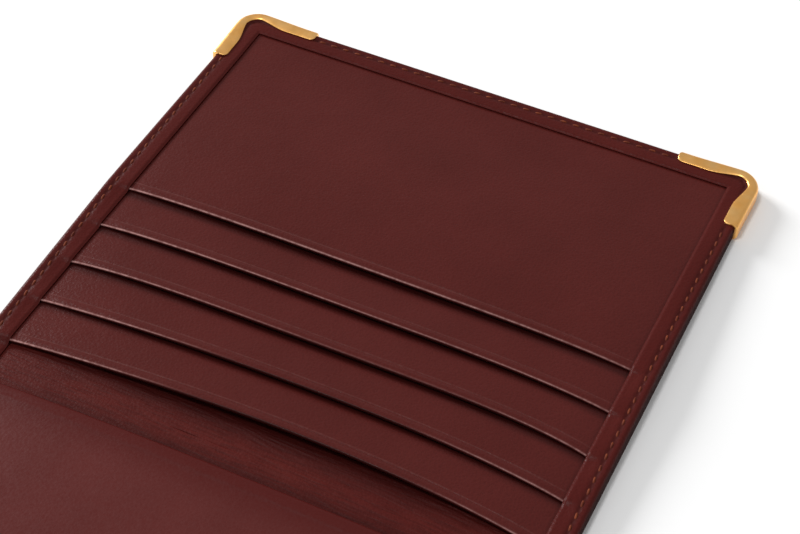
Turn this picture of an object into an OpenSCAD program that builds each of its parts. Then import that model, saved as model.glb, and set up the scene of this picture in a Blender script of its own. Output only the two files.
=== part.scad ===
// Card wallet that folds once over a flat spine. Lying open, it rests on z = 0.
// +X runs along the fold, +Y from the spine to the outer edge of the card leaf, +Z up.
// The origin is under the middle of the spine.

/* [Overall] */
// Width of the leather along the fold
wallet_w = 96; // [92:1:120]
// Width of the spine between its two fold lines
spine_w = 5; // [4.4:0.1:14]
// Radius of the leather at the outer corners
corner_r = 3.4; // [3:0.1:9]

/* [Card slots] */
// Number of card slots
slot_count = 5; // [2:1:6]
// From the outer edge to the mouth of the first slot
first_mouth = 49; // [46:0.5:60]
// From one slot mouth to the next
slot_pitch = 8.9; // [7:0.1:13]
// From the last mouth to the fold line
mouth_margin = 1.2; // [0.8:0.1:4]
// How far each mouth lies below the one before it
slot_step = 0.25; // [0.15:0.01:0.4]
// How far a strip reaches under the panel before it
tuck = 6; // [4:0.1:6.5]
// Depth of each pocket behind its mouth
pocket_depth = 45.5; // [38:0.5:45.5]

/* [Leather and boards] */
// Thickness of the outer cover
cover_t = 0.7; // [0.5:0.05:1.4]
// Thickness of the stiffening board
board_t = 0.25; // [0.15:0.05:0.8]
// Thickness of the lining
lining_t = 0.25; // [0.15:0.05:0.6]
// Thickness of a slot panel
panel_t = 0.45; // [0.35:0.05:0.8]
// Thickness of a pocket's fabric back
tail_t = 0.08; // [0.05:0.01:0.09]
// Thickness of the turned hem
hem_t = 0.5; // [0.4:0.05:1]
// Thickness of the leather round the edge
edge_t = 0.6; // [0.4:0.05:1]

/* [Hem and stitching] */
// Width of the hem along the side edges
side_hem = 4.4; // [3.8:0.1:6]
// Width of the hem along the outer edges
end_hem = 4; // [3.8:0.1:6]
// From the edge to the line of stitching
stitch_inset = 1.5; // [1.3:0.1:2]
// Width of the thread's run
thread_w = 0.45; // [0.3:0.05:0.6]
// Depth that the thread lies in the leather
thread_depth = 0.2; // [0.1:0.05:0.25]

/* [Corner clips] */
// Length of each leg of a clip
clip_leg = 13.4; // [11:0.1:20]
// Width of a clip's flange at its legs
clip_flange = 2; // [1.5:0.1:3]
// Width of a clip's flange at the corner
clip_throat = 0.9; // [0.6:0.1:1.2]
// Thickness of the clip's metal
clip_t = 0.35; // [0.25:0.05:0.6]

/* [Clearances] */
// Gap between two pieces of leather that lie on each other
layer_gap = 0.03; // [0.02:0.01:0.06]
// Gap across each fold line
fold_gap = 0.4; // [0.3:0.1:0.8]
// Height of the fold axis above the hem at the fold
fold_rise = 0.1; // [0.1:0.05:0.4]

/* [Hidden] */
$fn = 48;
bordeaux = [0.30, 0.10, 0.10];
dark_bordeaux = [0.24, 0.08, 0.08];
board_grey = [0.55, 0.52, 0.48];
fabric_black = [0.10, 0.09, 0.09];
thread_rust = [0.62, 0.30, 0.16];
gold = [0.80, 0.62, 0.36];

tall = 20;                                     // taller than any piece, for cutting
leaf_l = first_mouth + (slot_count - 1) * slot_pitch + mouth_margin;
clip_end = leaf_l + clip_t;                    // outer face of the clips, from the fold line
inner_corner_r = 0.6;                          // least corner radius of the pieces inside the edge
fold_start = fold_gap / 2;                     // where a leaf's solids start, from the fold line
board_z = cover_t + layer_gap;
lining_z = board_z + board_t + layer_gap;
floor_z = lining_z + lining_t + layer_gap;     // what the slots lie on
fold_hem_z = floor_z + hem_t;                  // top of the hem at the fold
fold_z = fold_hem_z + fold_rise;               // height of both fold axes, which run along X
fold_axes = [[0, spine_w / 2, fold_z], [0, -spine_w / 2, fold_z]];
stair = panel_t + layer_gap;                   // drop from a mouth to the strip behind it
slope = (stair - slot_step) / slot_pitch;      // how steeply each strip climbs to its mouth
tail_pitch = tail_t + layer_gap;               // height from one fabric back to the next
blank_inset = edge_t + layer_gap;              // from the edge to the pieces inside the cover
strip_grip = 3;                                // overlap of a fabric back and its strip

// Top of the last panel at its mouth: its tucked end just clears the fabric backs below it
last_mouth_z = floor_z + tail_pitch + panel_t + slope * (slot_pitch + tuck) + layer_gap;
edge_panel_z = floor_z + slot_count * tail_pitch + panel_t;   // top of panel 1 at the outer edge
pocket_z = floor_z + panel_t;                  // top of the second leaf's panel

// From the outer edge to the mouth of slot i, and the same place measured from the fold line
function mouth_d(i) = first_mouth + (i - 1) * slot_pitch;
function mouth_y(i) = leaf_l - mouth_d(i);
// Top of panel i at its mouth, and anywhere along it
function mouth_z(i) = last_mouth_z + (slot_count - i) * slot_step;
function strip_z(i, y) = mouth_z(i) - slope * (y - mouth_y(i));
// Place where panel 1 stops sloping and runs level to the outer edge
level_y = mouth_y(1) + (mouth_z(1) - edge_panel_z) / slope;
bend_y = min(level_y, leaf_l - end_hem - slot_pitch / 2);
outer_z = min(strip_z(1, bend_y), edge_panel_z);
// Height of the fabric back of slot i
function tail_z(i) = floor_z + (slot_count - i) * tail_pitch;

// Top of the hem over the card leaf, from the fold line to the outer edge, as [y, z] points
hem_top = concat(
    [[fold_start, fold_hem_z]],
    [for (i = [slot_count:-1:1]) [mouth_y(i), mouth_z(i) + layer_gap + hem_t]],
    [[bend_y, outer_z + layer_gap + hem_t], [clip_end, outer_z + layer_gap + hem_t]]);
// Underside of the hem, in steps over the mouths
hem_under = concat(
    [[fold_start, floor_z], [mouth_y(slot_count) - layer_gap, floor_z]],
    [for (i = [slot_count:-1:2]) each [
        [mouth_y(i) - layer_gap, mouth_z(i) + layer_gap],
        [mouth_y(i - 1) - layer_gap, strip_z(i, mouth_y(i - 1)) + layer_gap]]],
    [[mouth_y(1) - layer_gap, mouth_z(1) + layer_gap], [bend_y, outer_z + layer_gap],
        [clip_end, outer_z + layer_gap]]);
// The same two lines for the second leaf, which has one panel
pocket_hem_top = [[fold_start, fold_hem_z], [mouth_margin, pocket_z + layer_gap + hem_t],
    [clip_end, pocket_z + layer_gap + hem_t]];
pocket_hem_under = [[fold_start, floor_z], [mouth_margin - layer_gap, floor_z],
    [mouth_margin - layer_gap, pocket_z + layer_gap], [clip_end, pocket_z + layer_gap]];

// ---- Shared shapes, drawn for a leaf whose fold line lies on y = 0 ----

// Outline of a leaf from start to its outer edge, inset all round but at the fold
module leaf_outline(inset, start = fold_start) {
    r = max(corner_r - inset, inner_corner_r);
    side = wallet_w / 2 - inset;
    end = leaf_l - inset;
    translate([-side, start]) square([2 * side, end - r - start]);
    translate([r - side, start]) square([2 * (side - r), end - start]);
    for (s = [-1, 1]) translate([s * (side - r), end - r]) circle(r);
}

// Solid whose section across the fold is the given [y, z] outline
module across(points) {
    translate([-wallet_w, 0, 0]) rotate([90, 0, 90]) linear_extrude(2 * wallet_w) polygon(points);
}

// Solid between two lines of [y, z] points, moved up by low and high
module between(under, top, low = 0, high = 0) {
    across(concat([for (p = under) p + [0, low]], [for (i = [len(top) - 1:-1:0]) top[i] + [0, high]]));
}

// Solid under a line of [y, z] points, down to the given height
module below(top, bottom = 0) {
    across(concat([[top[0][0], bottom]], top, [[top[len(top) - 1][0], bottom]]));
}

// Upright wall that follows the leaf's outline, between two insets
module leaf_wall(outer, inner) {
    linear_extrude(tall) difference() {
        leaf_outline(outer);
        leaf_outline(inner, start = -1);
    }
}

// Upright wall over the hem, which is wider at the sides than at the end
module hem_wall() {
    half = wallet_w / 2 - side_hem;
    linear_extrude(tall) difference() {
        leaf_outline(0);
        translate([-half, -1]) square([2 * half, leaf_l - end_hem + 1]);
    }
}

// Flat sheet inside the cover of a leaf
module leaf_sheet(z, t) {
    translate([0, 0, z]) linear_extrude(t) leaf_outline(blank_inset);
}

// The two corners of a leaf where the clips sit, with rounded leg ends
module clip_plan(grow) {
    side = wallet_w / 2;
    round_r = clip_flange / 2;
    for (s = [0, 1]) mirror([s, 0]) {
        translate([side - clip_leg + round_r - grow, leaf_l - clip_flange - grow])
            square([clip_leg, clip_flange + 2 * (clip_t + grow)]);
        translate([side - clip_leg + round_r, leaf_l - round_r]) circle(round_r + grow);
        translate([side - clip_flange - grow, leaf_l - clip_leg + round_r - grow])
            square([clip_flange + 2 * (clip_t + grow), clip_leg]);
        translate([side - round_r, leaf_l - clip_leg + round_r]) circle(round_r + grow);
    }
}

// Plan of the flanges: the legs, cut back to the throat round each corner
module flange_plan(grow = 0) {
    side = wallet_w / 2;
    intersection() {
        leaf_outline(-clip_t);
        difference() {
            clip_plan(grow);
            for (s = [-1, 1]) translate([s * (side - corner_r), leaf_l - corner_r])
                circle(corner_r - clip_throat - grow);
        }
    }
}

// Pair of clips: top flange along the hem, bottom flange, and a wall round the edge
module clips(hem_top) {
    intersection() {
        linear_extrude(tall) flange_plan();
        union() {
            between(hem_top, hem_top, layer_gap, layer_gap + clip_t);
            translate([-wallet_w, 0, 0]) cube([2 * wallet_w, clip_end, clip_t]);
            difference() {
                translate([0, 0, layer_gap + clip_t]) below(hem_top, -layer_gap - clip_t);
                translate([0, 0, -1]) linear_extrude(tall) leaf_outline(-layer_gap, start = -1);
            }
        }
    }
}

// One clip of the pair
module one_clip(hem_top, side) {
    color(gold) intersection() {
        clips(hem_top);
        translate([side > 0 ? 0 : -wallet_w, 0, 0]) cube([wallet_w, leaf_l + wallet_w, tall]);
    }
}

// Groove for the thread, or the thread in it when grow is 0
module stitch_wall(grow) {
    leaf_wall(stitch_inset - thread_w / 2 - grow, stitch_inset + thread_w / 2 + grow);
}

// Stitching of a leaf: a run on the hem, and a run under the cover that stops at the clips
module leaf_thread(hem_top) {
    color(thread_rust) {
        intersection() {
            stitch_wall(0);
            between(hem_top, hem_top, -thread_depth, 0);
        }
        difference() {
            intersection() {
                stitch_wall(0);
                translate([-wallet_w, 0, 0]) cube([2 * wallet_w, leaf_l, thread_depth]);
            }
            translate([0, 0, -1]) linear_extrude(tall) flange_plan(layer_gap);
        }
    }
}

// Cover of a leaf: base, edge and turned hem, with the thread's grooves and seats for the clips
module leaf_cover(hem_top, hem_under) {
    color(dark_bordeaux) difference() {
        union() {
            linear_extrude(cover_t) leaf_outline(0);
            intersection() {
                leaf_wall(0, edge_t);
                below(hem_top);
            }
            intersection() {
                hem_wall();
                between(hem_under, hem_top);
            }
        }
        intersection() {
            stitch_wall(layer_gap);
            union() {
                between(hem_top, hem_top, -thread_depth - layer_gap, 1);
                translate([-wallet_w, -1, -1]) cube([2 * wallet_w, leaf_l + 2, 1 + thread_depth + layer_gap]);
            }
        }
        translate([0, 0, -1]) linear_extrude(1 + clip_t + layer_gap) flange_plan(layer_gap);
    }
}

// ---- Card leaf ----

// Places a piece drawn from the fold line on the card leaf
module on_card_leaf() {
    translate([0, spine_w / 2, 0]) children();
}

module card_cover() {
    on_card_leaf() leaf_cover(hem_top, hem_under);
}

module card_stiffener() {
    on_card_leaf() color(board_grey) leaf_sheet(board_z, board_t);
}

module card_lining() {
    on_card_leaf() color(dark_bordeaux) leaf_sheet(lining_z, lining_t);
}

// Top panel for i = 1, and for the others the strip that ends in mouth i
module slot_panel(i) {
    back = i == 1 ? leaf_l : mouth_y(i - 1) + tuck;
    top = i == 1
        ? [[mouth_y(1), mouth_z(1)], [bend_y, outer_z], [back, outer_z]]
        : [[mouth_y(i), mouth_z(i)], [back, strip_z(i, back)]];
    on_card_leaf() color(bordeaux) intersection() {
        linear_extrude(tall) leaf_outline(blank_inset);
        between(top, top, -panel_t, 0);
    }
}

// Fabric back of slot i, from the pocket's bottom up to the underside of its strip
module slot_tail(i) {
    bottom = mouth_y(i) + pocket_depth;
    end = mouth_y(i - 1) + tuck;
    low = tail_z(i);
    high = strip_z(i, end) - panel_t - layer_gap - tail_t;
    grip_z = strip_z(i, end - strip_grip) - panel_t - layer_gap - tail_t;
    line = [[end - strip_grip, grip_z], [end, high], [end + slot_pitch / 2, low], [bottom, low]];
    on_card_leaf() color(fabric_black) intersection() {
        linear_extrude(tall) leaf_outline(blank_inset);
        between(line, line, 0, tail_t);
    }
}

module card_thread() {
    on_card_leaf() leaf_thread(hem_top);
}

module card_corner_left() {
    on_card_leaf() one_clip(hem_top, -1);
}

module card_corner_right() {
    on_card_leaf() one_clip(hem_top, 1);
}

// ---- Spine ----

// Block along the spine, from x1 to x2 and from z1 to z2, set back from both fold lines
module spine_block(x1, x2, z1, z2) {
    translate([x1, fold_start - spine_w / 2, z1]) cube([x2 - x1, spine_w - fold_gap, z2 - z1]);
}

module spine_cover() {
    side = wallet_w / 2;
    groove = thread_w / 2 + layer_gap;
    color(dark_bordeaux) difference() {
        union() {
            spine_block(-side, side, 0, cover_t);
            for (s = [0, 1]) mirror([s, 0, 0]) {
                spine_block(side - edge_t, side, 0, fold_hem_z);
                spine_block(side - side_hem, side, floor_z, fold_hem_z);
            }
        }
        for (s = [0, 1]) mirror([s, 0, 0]) translate([side - stitch_inset - groove, -spine_w, 0]) {
            translate([0, 0, -1]) cube([2 * groove, 2 * spine_w, 1 + thread_depth + layer_gap]);
            translate([0, 0, fold_hem_z - thread_depth - layer_gap]) cube([2 * groove, 2 * spine_w, 1]);
        }
    }
}

module spine_reinforcement() {
    side = wallet_w / 2 - blank_inset;
    color(board_grey) spine_block(-side, side, board_z, board_z + board_t);
}

module spine_lining() {
    side = wallet_w / 2 - blank_inset;
    color(bordeaux) spine_block(-side, side, lining_z, lining_z + lining_t);
}

module spine_thread() {
    x = wallet_w / 2 - stitch_inset;
    color(thread_rust) for (s = [0, 1]) mirror([s, 0, 0]) {
        spine_block(x - thread_w / 2, x + thread_w / 2, 0, thread_depth);
        spine_block(x - thread_w / 2, x + thread_w / 2, fold_hem_z - thread_depth, fold_hem_z);
    }
}

// ---- Second leaf ----

// Places a piece drawn from the fold line on the second leaf
module on_pocket_leaf() {
    mirror([0, 1, 0]) translate([0, spine_w / 2, 0]) children();
}

module pocket_cover() {
    on_pocket_leaf() leaf_cover(pocket_hem_top, pocket_hem_under);
}

module pocket_stiffener() {
    on_pocket_leaf() color(board_grey) leaf_sheet(board_z, board_t);
}

module pocket_lining() {
    on_pocket_leaf() color(dark_bordeaux) leaf_sheet(lining_z, lining_t);
}

module pocket_panel() {
    on_pocket_leaf() color(bordeaux) translate([0, 0, floor_z]) linear_extrude(panel_t)
        leaf_outline(blank_inset, start = mouth_margin);
}

module pocket_thread() {
    on_pocket_leaf() leaf_thread(pocket_hem_top);
}

module pocket_corner_left() {
    on_pocket_leaf() one_clip(pocket_hem_top, -1);
}

module pocket_corner_right() {
    on_pocket_leaf() one_clip(pocket_hem_top, 1);
}

echo(fold_axes = fold_axes);
card_cover();
card_stiffener();
card_lining();
for (i = [1:slot_count])
    slot_panel(i);
for (i = [2:slot_count])
    slot_tail(i);
card_thread();
card_corner_left();
card_corner_right();
spine_cover();
spine_reinforcement();
spine_lining();
spine_thread();
pocket_cover();
pocket_stiffener();
pocket_lining();
pocket_panel();
pocket_thread();
pocket_corner_left();
pocket_corner_right();
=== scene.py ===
"""Visual model of a card wallet that folds once over a flat spine.

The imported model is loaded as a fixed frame. Around it this script makes the leather cover with its turned
hem, the stair of card slots, the lining of the fold, the second leaf's panel, the stitching and the gold
corner clips. All sizes are in metres, in the frame's own axes: +X along the fold, +Y from the fold to the
card leaf's outer edge, +Z up.
"""

import logging
import math
import sys
from dataclasses import dataclass
from enum import Enum
from typing import Callable

import bpy
import numpy as np
from mathutils import Matrix, Vector, noise

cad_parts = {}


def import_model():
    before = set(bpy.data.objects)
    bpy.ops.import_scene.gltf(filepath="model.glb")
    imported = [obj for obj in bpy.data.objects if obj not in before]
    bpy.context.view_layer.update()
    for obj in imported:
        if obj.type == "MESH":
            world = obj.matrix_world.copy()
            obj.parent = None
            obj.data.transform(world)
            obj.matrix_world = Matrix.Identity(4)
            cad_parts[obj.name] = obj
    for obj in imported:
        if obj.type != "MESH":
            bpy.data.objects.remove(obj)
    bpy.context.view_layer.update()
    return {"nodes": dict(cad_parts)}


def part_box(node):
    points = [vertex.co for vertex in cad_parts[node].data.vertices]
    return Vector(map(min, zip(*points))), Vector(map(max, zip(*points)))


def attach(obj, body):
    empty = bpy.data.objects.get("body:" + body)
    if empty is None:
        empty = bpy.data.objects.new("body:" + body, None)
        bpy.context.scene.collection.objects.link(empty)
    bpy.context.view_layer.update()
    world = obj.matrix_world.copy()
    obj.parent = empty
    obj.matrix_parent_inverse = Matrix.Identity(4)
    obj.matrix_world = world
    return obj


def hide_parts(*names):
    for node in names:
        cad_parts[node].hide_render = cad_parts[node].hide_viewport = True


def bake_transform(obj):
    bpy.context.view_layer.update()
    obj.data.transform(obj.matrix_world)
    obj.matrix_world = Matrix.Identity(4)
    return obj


LOG = logging.getLogger("wallet")
MM = 0.001
FAR_AWAY = 1.0
WELD = 1e-7
Triple = tuple[float, float, float]


class Side(Enum):
    """The two leaves of the wallet."""

    CARD = 1
    POCKET = -1


def smooth_step(low: float, high: float, value: np.ndarray) -> np.ndarray:
    """Rises smoothly from 0 at low to 1 at high.

    Args:
        low: where the rise starts.
        high: where it ends.
        value: places to evaluate.

    Returns:
        The share risen, from 0 to 1.
    """
    share = np.clip((value - low) / (high - low), 0.0, 1.0)
    return share * share * (3.0 - 2.0 * share)


def drop_off(low: float, high: float, value: np.ndarray) -> np.ndarray:
    """Falls smoothly from 1 at low to 0 at high."""
    return 1.0 - smooth_step(low, high, value)


def soft_switch(value: np.ndarray, width: float) -> np.ndarray:
    """Goes from 0 to 1 around 0, over about twice the given width."""
    return 0.5 * (1.0 + np.tanh(value / width))


def ridge(value: np.ndarray, centre: float, width: float) -> np.ndarray:
    """A smooth ridge of height 1 at centre that fades over width."""
    return np.exp(-(((value - centre) / width) ** 2))


def round_off(left: np.ndarray, radius: float) -> np.ndarray:
    """How much a round corner of the given radius takes off a strip, at a distance left from its end."""
    near = np.clip(left, 0.0, radius)
    return radius - np.sqrt(np.maximum(radius**2 - (radius - near) ** 2, 0.0))


# Bench: the modelling steps that every piece is made with


class Bench:
    """Modelling steps shared by all pieces."""

    @staticmethod
    def clear() -> None:
        """Leaves edit mode and deselects everything."""
        active = bpy.context.view_layer.objects.active
        if active is not None and active.mode != "OBJECT":
            bpy.ops.object.mode_set(mode="OBJECT")
        bpy.ops.object.select_all(action="DESELECT")

    @staticmethod
    def pick(obj: bpy.types.Object) -> None:
        """Selects one object and makes it active.

        Args:
            obj: the object.
        """
        Bench.clear()
        obj.select_set(True)
        bpy.context.view_layer.objects.active = obj

    @staticmethod
    def edit_all(obj: bpy.types.Object) -> None:
        """Enters edit mode on one object, with all of it selected.

        Args:
            obj: the object.
        """
        Bench.pick(obj)
        bpy.ops.object.mode_set(mode="EDIT")
        bpy.ops.mesh.select_all(action="SELECT")

    @staticmethod
    def name(obj: bpy.types.Object, name: str) -> bpy.types.Object:
        """Gives an object and its mesh one name.

        Args:
            obj: the object.
            name: the name for both.

        Returns:
            The object.
        """
        obj.name = name
        obj.data.name = name
        return obj

    @staticmethod
    def grid(name: str, points: np.ndarray) -> bpy.types.Object:
        """Adds a grid and lays it on the given points.

        Args:
            name: name of the new object.
            points: places of the vertices, rows by columns by 3.

        Returns:
            The new object.
        """
        rows, columns = points.shape[:2]
        Bench.clear()
        bpy.ops.mesh.primitive_grid_add(x_subdivisions=columns - 1, y_subdivisions=rows - 1, size=2.0)
        obj = Bench.name(bpy.context.object, name)
        flat = np.empty(len(obj.data.vertices) * 3)
        obj.data.vertices.foreach_get("co", flat)
        flat = flat.reshape(-1, 3)
        column = np.rint((flat[:, 0] + 1.0) / 2.0 * (columns - 1)).astype(int)
        row = np.rint((flat[:, 1] + 1.0) / 2.0 * (rows - 1)).astype(int)
        obj.data.vertices.foreach_set("co", points[row, column].ravel())
        obj.data.update()
        return obj

    @staticmethod
    def loft(name: str, rings: np.ndarray) -> bpy.types.Object:
        """Makes a closed solid through rings of points.

        Args:
            name: name of the new object.
            rings: rings by points by 3, where each ring closes on its first point.

        Returns:
            The new object, closed at both ends, with its faces pointing outwards.
        """
        closed = np.concatenate([rings, rings[:, :1]], axis=1)
        obj = Bench.grid(name, closed)
        Bench.edit_all(obj)
        bpy.ops.mesh.remove_doubles(threshold=WELD)
        bpy.ops.mesh.fill_holes(sides=0)
        bpy.ops.mesh.select_all(action="SELECT")
        bpy.ops.mesh.normals_make_consistent(inside=False)
        bpy.ops.object.mode_set(mode="OBJECT")
        return obj

    @staticmethod
    def apply(obj: bpy.types.Object, kind: str, **settings: object) -> None:
        """Adds a modifier and applies it.

        Args:
            obj: the object.
            kind: the modifier's type.
            settings: the modifier's own settings.
        """
        Bench.pick(obj)
        modifier = obj.modifiers.new(kind.title(), kind)
        for key, value in settings.items():
            setattr(modifier, key, value)
        bpy.ops.object.modifier_apply(modifier=modifier.name)

    @staticmethod
    def smooth(obj: bpy.types.Object, degrees: float) -> None:
        """Shades smooth, except across edges sharper than the given angle."""
        Bench.pick(obj)
        bpy.ops.object.shade_smooth_by_angle(angle=math.radians(degrees))

    @staticmethod
    def note(obj: bpy.types.Object) -> None:
        """Logs how many faces an object has."""
        LOG.info("%s: %d faces", obj.name, len(obj.data.polygons))

    @staticmethod
    def points(obj: bpy.types.Object) -> np.ndarray:
        """The places of an object's vertices, one row each.

        Args:
            obj: the object.

        Returns:
            X, y and z of each vertex.
        """
        flat = np.empty(len(obj.data.vertices) * 3)
        obj.data.vertices.foreach_get("co", flat)
        return flat.reshape(-1, 3)

    @staticmethod
    def shade(obj: bpy.types.Object, painted_shade: np.ndarray, wear_and_highlight: np.ndarray | float = 0.0) -> None:
        """Stores shares of painted shade and of painted highlight with wear, from 0 to 1, on the vertices,
        for the finishes to read.

        Args:
            obj: the object.
            painted_shade: how much painted shade each vertex takes.
            wear_and_highlight: how much each vertex is paled, partly as wear and partly as a painted
                highlight.
        """
        for name, values in (("painted_shade", painted_shade), ("wear_and_highlight", wear_and_highlight)):
            layer = obj.data.attributes.new(name, "FLOAT", "POINT")
            full = np.broadcast_to(values, painted_shade.shape).astype(np.float32)
            layer.data.foreach_set("value", np.ascontiguousarray(full))

    @staticmethod
    def join(name: str, parts: list[bpy.types.Object]) -> bpy.types.Object:
        """Joins several objects into one.

        Args:
            name: name of the joined object.
            parts: the objects, which are used up.

        Returns:
            The joined object.
        """
        Bench.clear()
        for part in parts:
            part.select_set(True)
        bpy.context.view_layer.objects.active = parts[0]
        bpy.ops.object.join()
        return Bench.name(bpy.context.object, name)


# Finishes


class Nodes:
    """A short way to lay out a material's nodes."""

    def __init__(self, name: str) -> None:
        """Starts an empty material with an output and a main shader.

        Args:
            name: name of the material.
        """
        self.material = bpy.data.materials.new(name)
        self.material.use_nodes = True
        self.tree = self.material.node_tree
        self.shader = self.tree.nodes["Principled BSDF"]
        self.place = self.add("ShaderNodeTexCoord").outputs["Object"]

    def add(self, kind: str, **settings: object) -> bpy.types.Node:
        """Adds a node and sets its own properties.

        Args:
            kind: the node's type.
            settings: the node's own properties.

        Returns:
            The new node.
        """
        node = self.tree.nodes.new(kind)
        for key, value in settings.items():
            setattr(node, key, value)
        return node

    def link(self, source: bpy.types.NodeSocket, target: bpy.types.NodeSocket) -> None:
        """Joins two sockets."""
        self.tree.links.new(source, target)

    def feed(self, name: str, source: bpy.types.NodeSocket) -> None:
        """Joins a socket to one of the main shader's own."""
        self.link(source, self.shader.inputs[name])

    def noise(self, size: float, detail: float = 2.0,
              stretch: Triple = (1.0, 1.0, 1.0)) -> bpy.types.NodeSocket:
        """Adds noise.

        Args:
            size: about the size of its features in metres.
            detail: how many finer layers it has.
            stretch: scale along each axis; features are longer where it is smaller.

        Returns:
            The noise, from 0 to 1.
        """
        mapping = self.add("ShaderNodeMapping")
        mapping.inputs["Scale"].default_value = stretch
        node = self.add("ShaderNodeTexNoise")
        node.inputs["Scale"].default_value = 1.0 / size
        node.inputs["Detail"].default_value = detail
        self.link(self.place, mapping.inputs["Vector"])
        self.link(mapping.outputs["Vector"], node.inputs["Vector"])
        return node.outputs["Fac"]

    def cells(self, size: float) -> bpy.types.NodeSocket:
        """Distance within cells of the given size in metres.

        Args:
            size: about the size of a cell in metres.

        Returns:
            The distance from the middle of the cell, from 0.
        """
        node = self.add("ShaderNodeTexVoronoi", feature="F1")
        node.inputs["Scale"].default_value = 1.0 / size
        self.link(self.place, node.inputs["Vector"])
        return node.outputs["Distance"]

    def span(self, source: bpy.types.NodeSocket, low: float, high: float,
             start: float = 0.3, end: float = 0.7) -> bpy.types.NodeSocket:
        """Maps a range of values to another one.

        Args:
            source: the value to map.
            low: what start becomes.
            high: what end becomes.
            start: low end of the values read.
            end: high end of the values read.

        Returns:
            The mapped value, kept between low and high.
        """
        node = self.add("ShaderNodeMapRange")
        node.inputs["From Min"].default_value = start
        node.inputs["From Max"].default_value = end
        node.inputs["To Min"].default_value = low
        node.inputs["To Max"].default_value = high
        self.link(source, node.inputs["Value"])
        return node.outputs["Result"]

    def blend(self, share: bpy.types.NodeSocket, first: object, second: object) -> bpy.types.NodeSocket:
        """Mixes two colours.

        Args:
            share: share of the second colour.
            first: a colour, or a socket that gives one.
            second: a colour, or a socket that gives one.

        Returns:
            The mixed colour.
        """
        node = self.add("ShaderNodeMix", data_type="RGBA")
        self.link(share, node.inputs["Factor"])
        for slot, value in (("A", first), ("B", second)):
            socket = [s for s in node.inputs if s.name == slot and s.type == "RGBA"][0]
            if isinstance(value, bpy.types.NodeSocket):
                self.link(value, socket)
            else:
                socket.default_value = (*value, 1.0)
        return [s for s in node.outputs if s.type == "RGBA"][0]

    def bump(self, height: bpy.types.NodeSocket, depth: float,
             below: bpy.types.NodeSocket | None = None) -> bpy.types.NodeSocket:
        """Adds a bump.

        Args:
            height: height of the bump, from 0 to 1.
            depth: what a height of 1 is in metres.
            below: another bump that it lies on.

        Returns:
            The bumped normal.
        """
        node = self.add("ShaderNodeBump")
        node.inputs["Strength"].default_value = 1.0
        node.inputs["Distance"].default_value = depth
        self.link(height, node.inputs["Height"])
        if below is not None:
            self.link(below, node.inputs["Normal"])
        return node.outputs["Normal"]

    def set(self, **values: object) -> None:
        """Sets the main shader's own sockets, with underscores for spaces."""
        for key, value in values.items():
            self.shader.inputs[key.replace("_", " ")].default_value = value


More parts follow.
